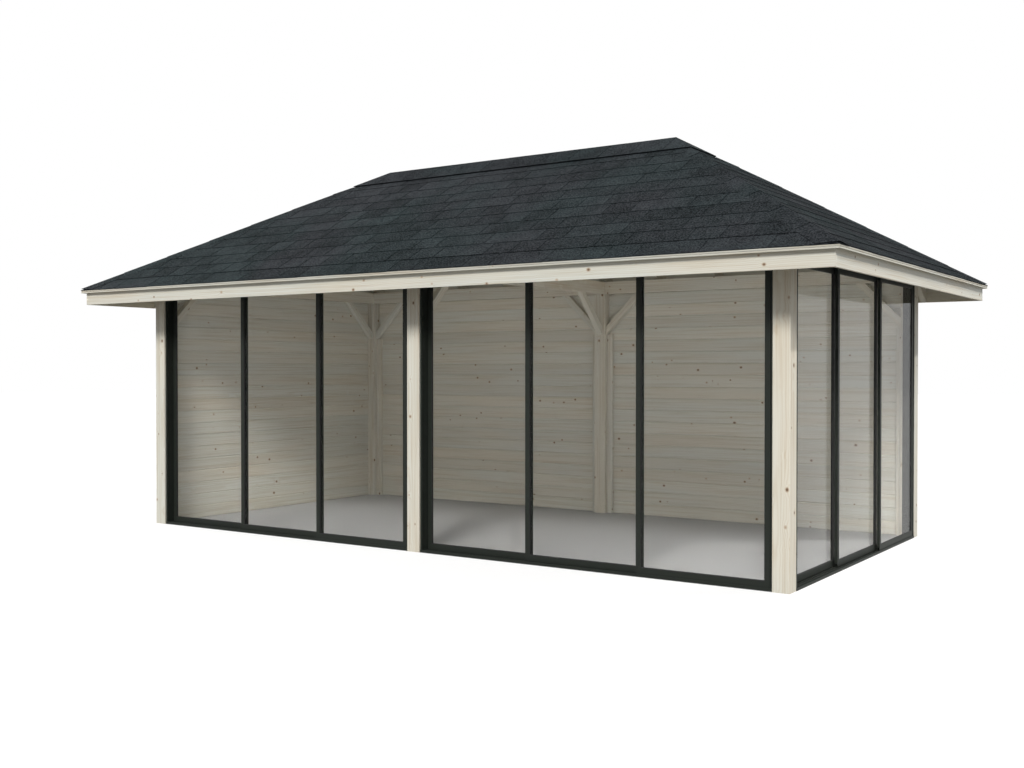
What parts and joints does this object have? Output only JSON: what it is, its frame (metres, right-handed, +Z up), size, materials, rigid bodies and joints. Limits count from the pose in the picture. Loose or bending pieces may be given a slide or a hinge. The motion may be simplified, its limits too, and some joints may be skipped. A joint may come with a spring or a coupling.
{
  "type": "garden gazebo",
  "caption": "Garden gazebo of pine posts and boards under a hipped shingle roof, with sliding glass doors in dark aluminium frames along the front and one end",
  "frame": {"origin": "on the ground at the middle of the plan", "axes": "+X along the front towards the glazed end, +Y from front to back, +Z up"},
  "size_m": [7.056, 4.016, 3.3329],
  "materials": {
    "pine": "planed, untreated",
    "roof_pine": "planed, untreated",
    "shingles": "mineral granules, matt",
    "door_aluminium": "powder-coated, satin",
    "door_glass": "clear, polished"
  },
  "bodies": {
    "root": {"post_front_left": "pine", "post_front_middle": "pine", "post_front_right": "pine", "post_back_left": "pine", "post_back_middle": "pine", "post_back_right": "pine", "long_beams": "pine", "end_beams": "pine", "knee_braces": "pine", "wall_back_left": "pine", "wall_back_right": "pine", "wall_left": "pine", "fascia_long": "pine", "fascia_ends": "pine", "ridge_board": "roof_pine", "hip_rafters": "roof_pine", "rafters": "roof_pine", "roof_boards_long": "roof_pine", "roof_boards_ends": "roof_pine", "shingles_long": "shingles", "shingles_ends": "shingles", "hip_caps": "shingles", "ridge_cap": "shingles", "front_left_door_frame": "door_aluminium", "front_right_door_frame": "door_aluminium", "right_end_door_frame": "door_aluminium"},
    "front_left_door_1": {"front_left_door_1_frame": "door_aluminium", "front_left_door_1_glass": "door_glass"},
    "front_left_door_2": {"front_left_door_2_frame": "door_aluminium", "front_left_door_2_glass": "door_glass"},
    "front_left_door_3": {"front_left_door_3_frame": "door_aluminium", "front_left_door_3_glass": "door_glass"},
    "front_right_door_1": {"front_right_door_1_frame": "door_aluminium", "front_right_door_1_glass": "door_glass"},
    "front_right_door_2": {"front_right_door_2_frame": "door_aluminium", "front_right_door_2_glass": "door_glass"},
    "front_right_door_3": {"front_right_door_3_frame": "door_aluminium", "front_right_door_3_glass": "door_glass"},
    "right_end_door_1": {"right_end_door_1_frame": "door_aluminium", "right_end_door_1_glass": "door_glass"},
    "right_end_door_2": {"right_end_door_2_frame": "door_aluminium", "right_end_door_2_glass": "door_glass"},
    "right_end_door_3": {"right_end_door_3_frame": "door_aluminium", "right_end_door_3_glass": "door_glass"}
  },
  "joints": [
    {"name": "front_left_door_1_slide", "type": "slide", "parent": "root", "child": "front_left_door_1", "axis": [1, 0, 0], "range_m": [0, 1.868]},
    {"name": "front_left_door_2_slide", "type": "slide", "parent": "root", "child": "front_left_door_2", "axis": [1, 0, 0], "range_m": [-0.934, 0.934]},
    {"name": "front_left_door_3_slide", "type": "slide", "parent": "root", "child": "front_left_door_3", "axis": [1, 0, 0], "range_m": [-1.868, 0]},
    {"name": "front_right_door_1_slide", "type": "slide", "parent": "root", "child": "front_right_door_1", "axis": [1, 0, 0], "range_m": [0, 1.868]},
    {"name": "front_right_door_2_slide", "type": "slide", "parent": "root", "child": "front_right_door_2", "axis": [1, 0, 0], "range_m": [-0.934, 0.934]},
    {"name": "front_right_door_3_slide", "type": "slide", "parent": "root", "child": "front_right_door_3", "axis": [1, 0, 0], "range_m": [-1.868, 0]},
    {"name": "right_end_door_1_slide", "type": "slide", "parent": "root", "child": "right_end_door_1", "axis": [0, 1, 0], "range_m": [0, 1.8413]},
    {"name": "right_end_door_2_slide", "type": "slide", "parent": "root", "child": "right_end_door_2", "axis": [0, 1, 0], "range_m": [-0.9207, 0.9207]},
    {"name": "right_end_door_3_slide", "type": "slide", "parent": "root", "child": "right_end_door_3", "axis": [0, 1, 0], "range_m": [-1.8413, 0]}
  ]
}
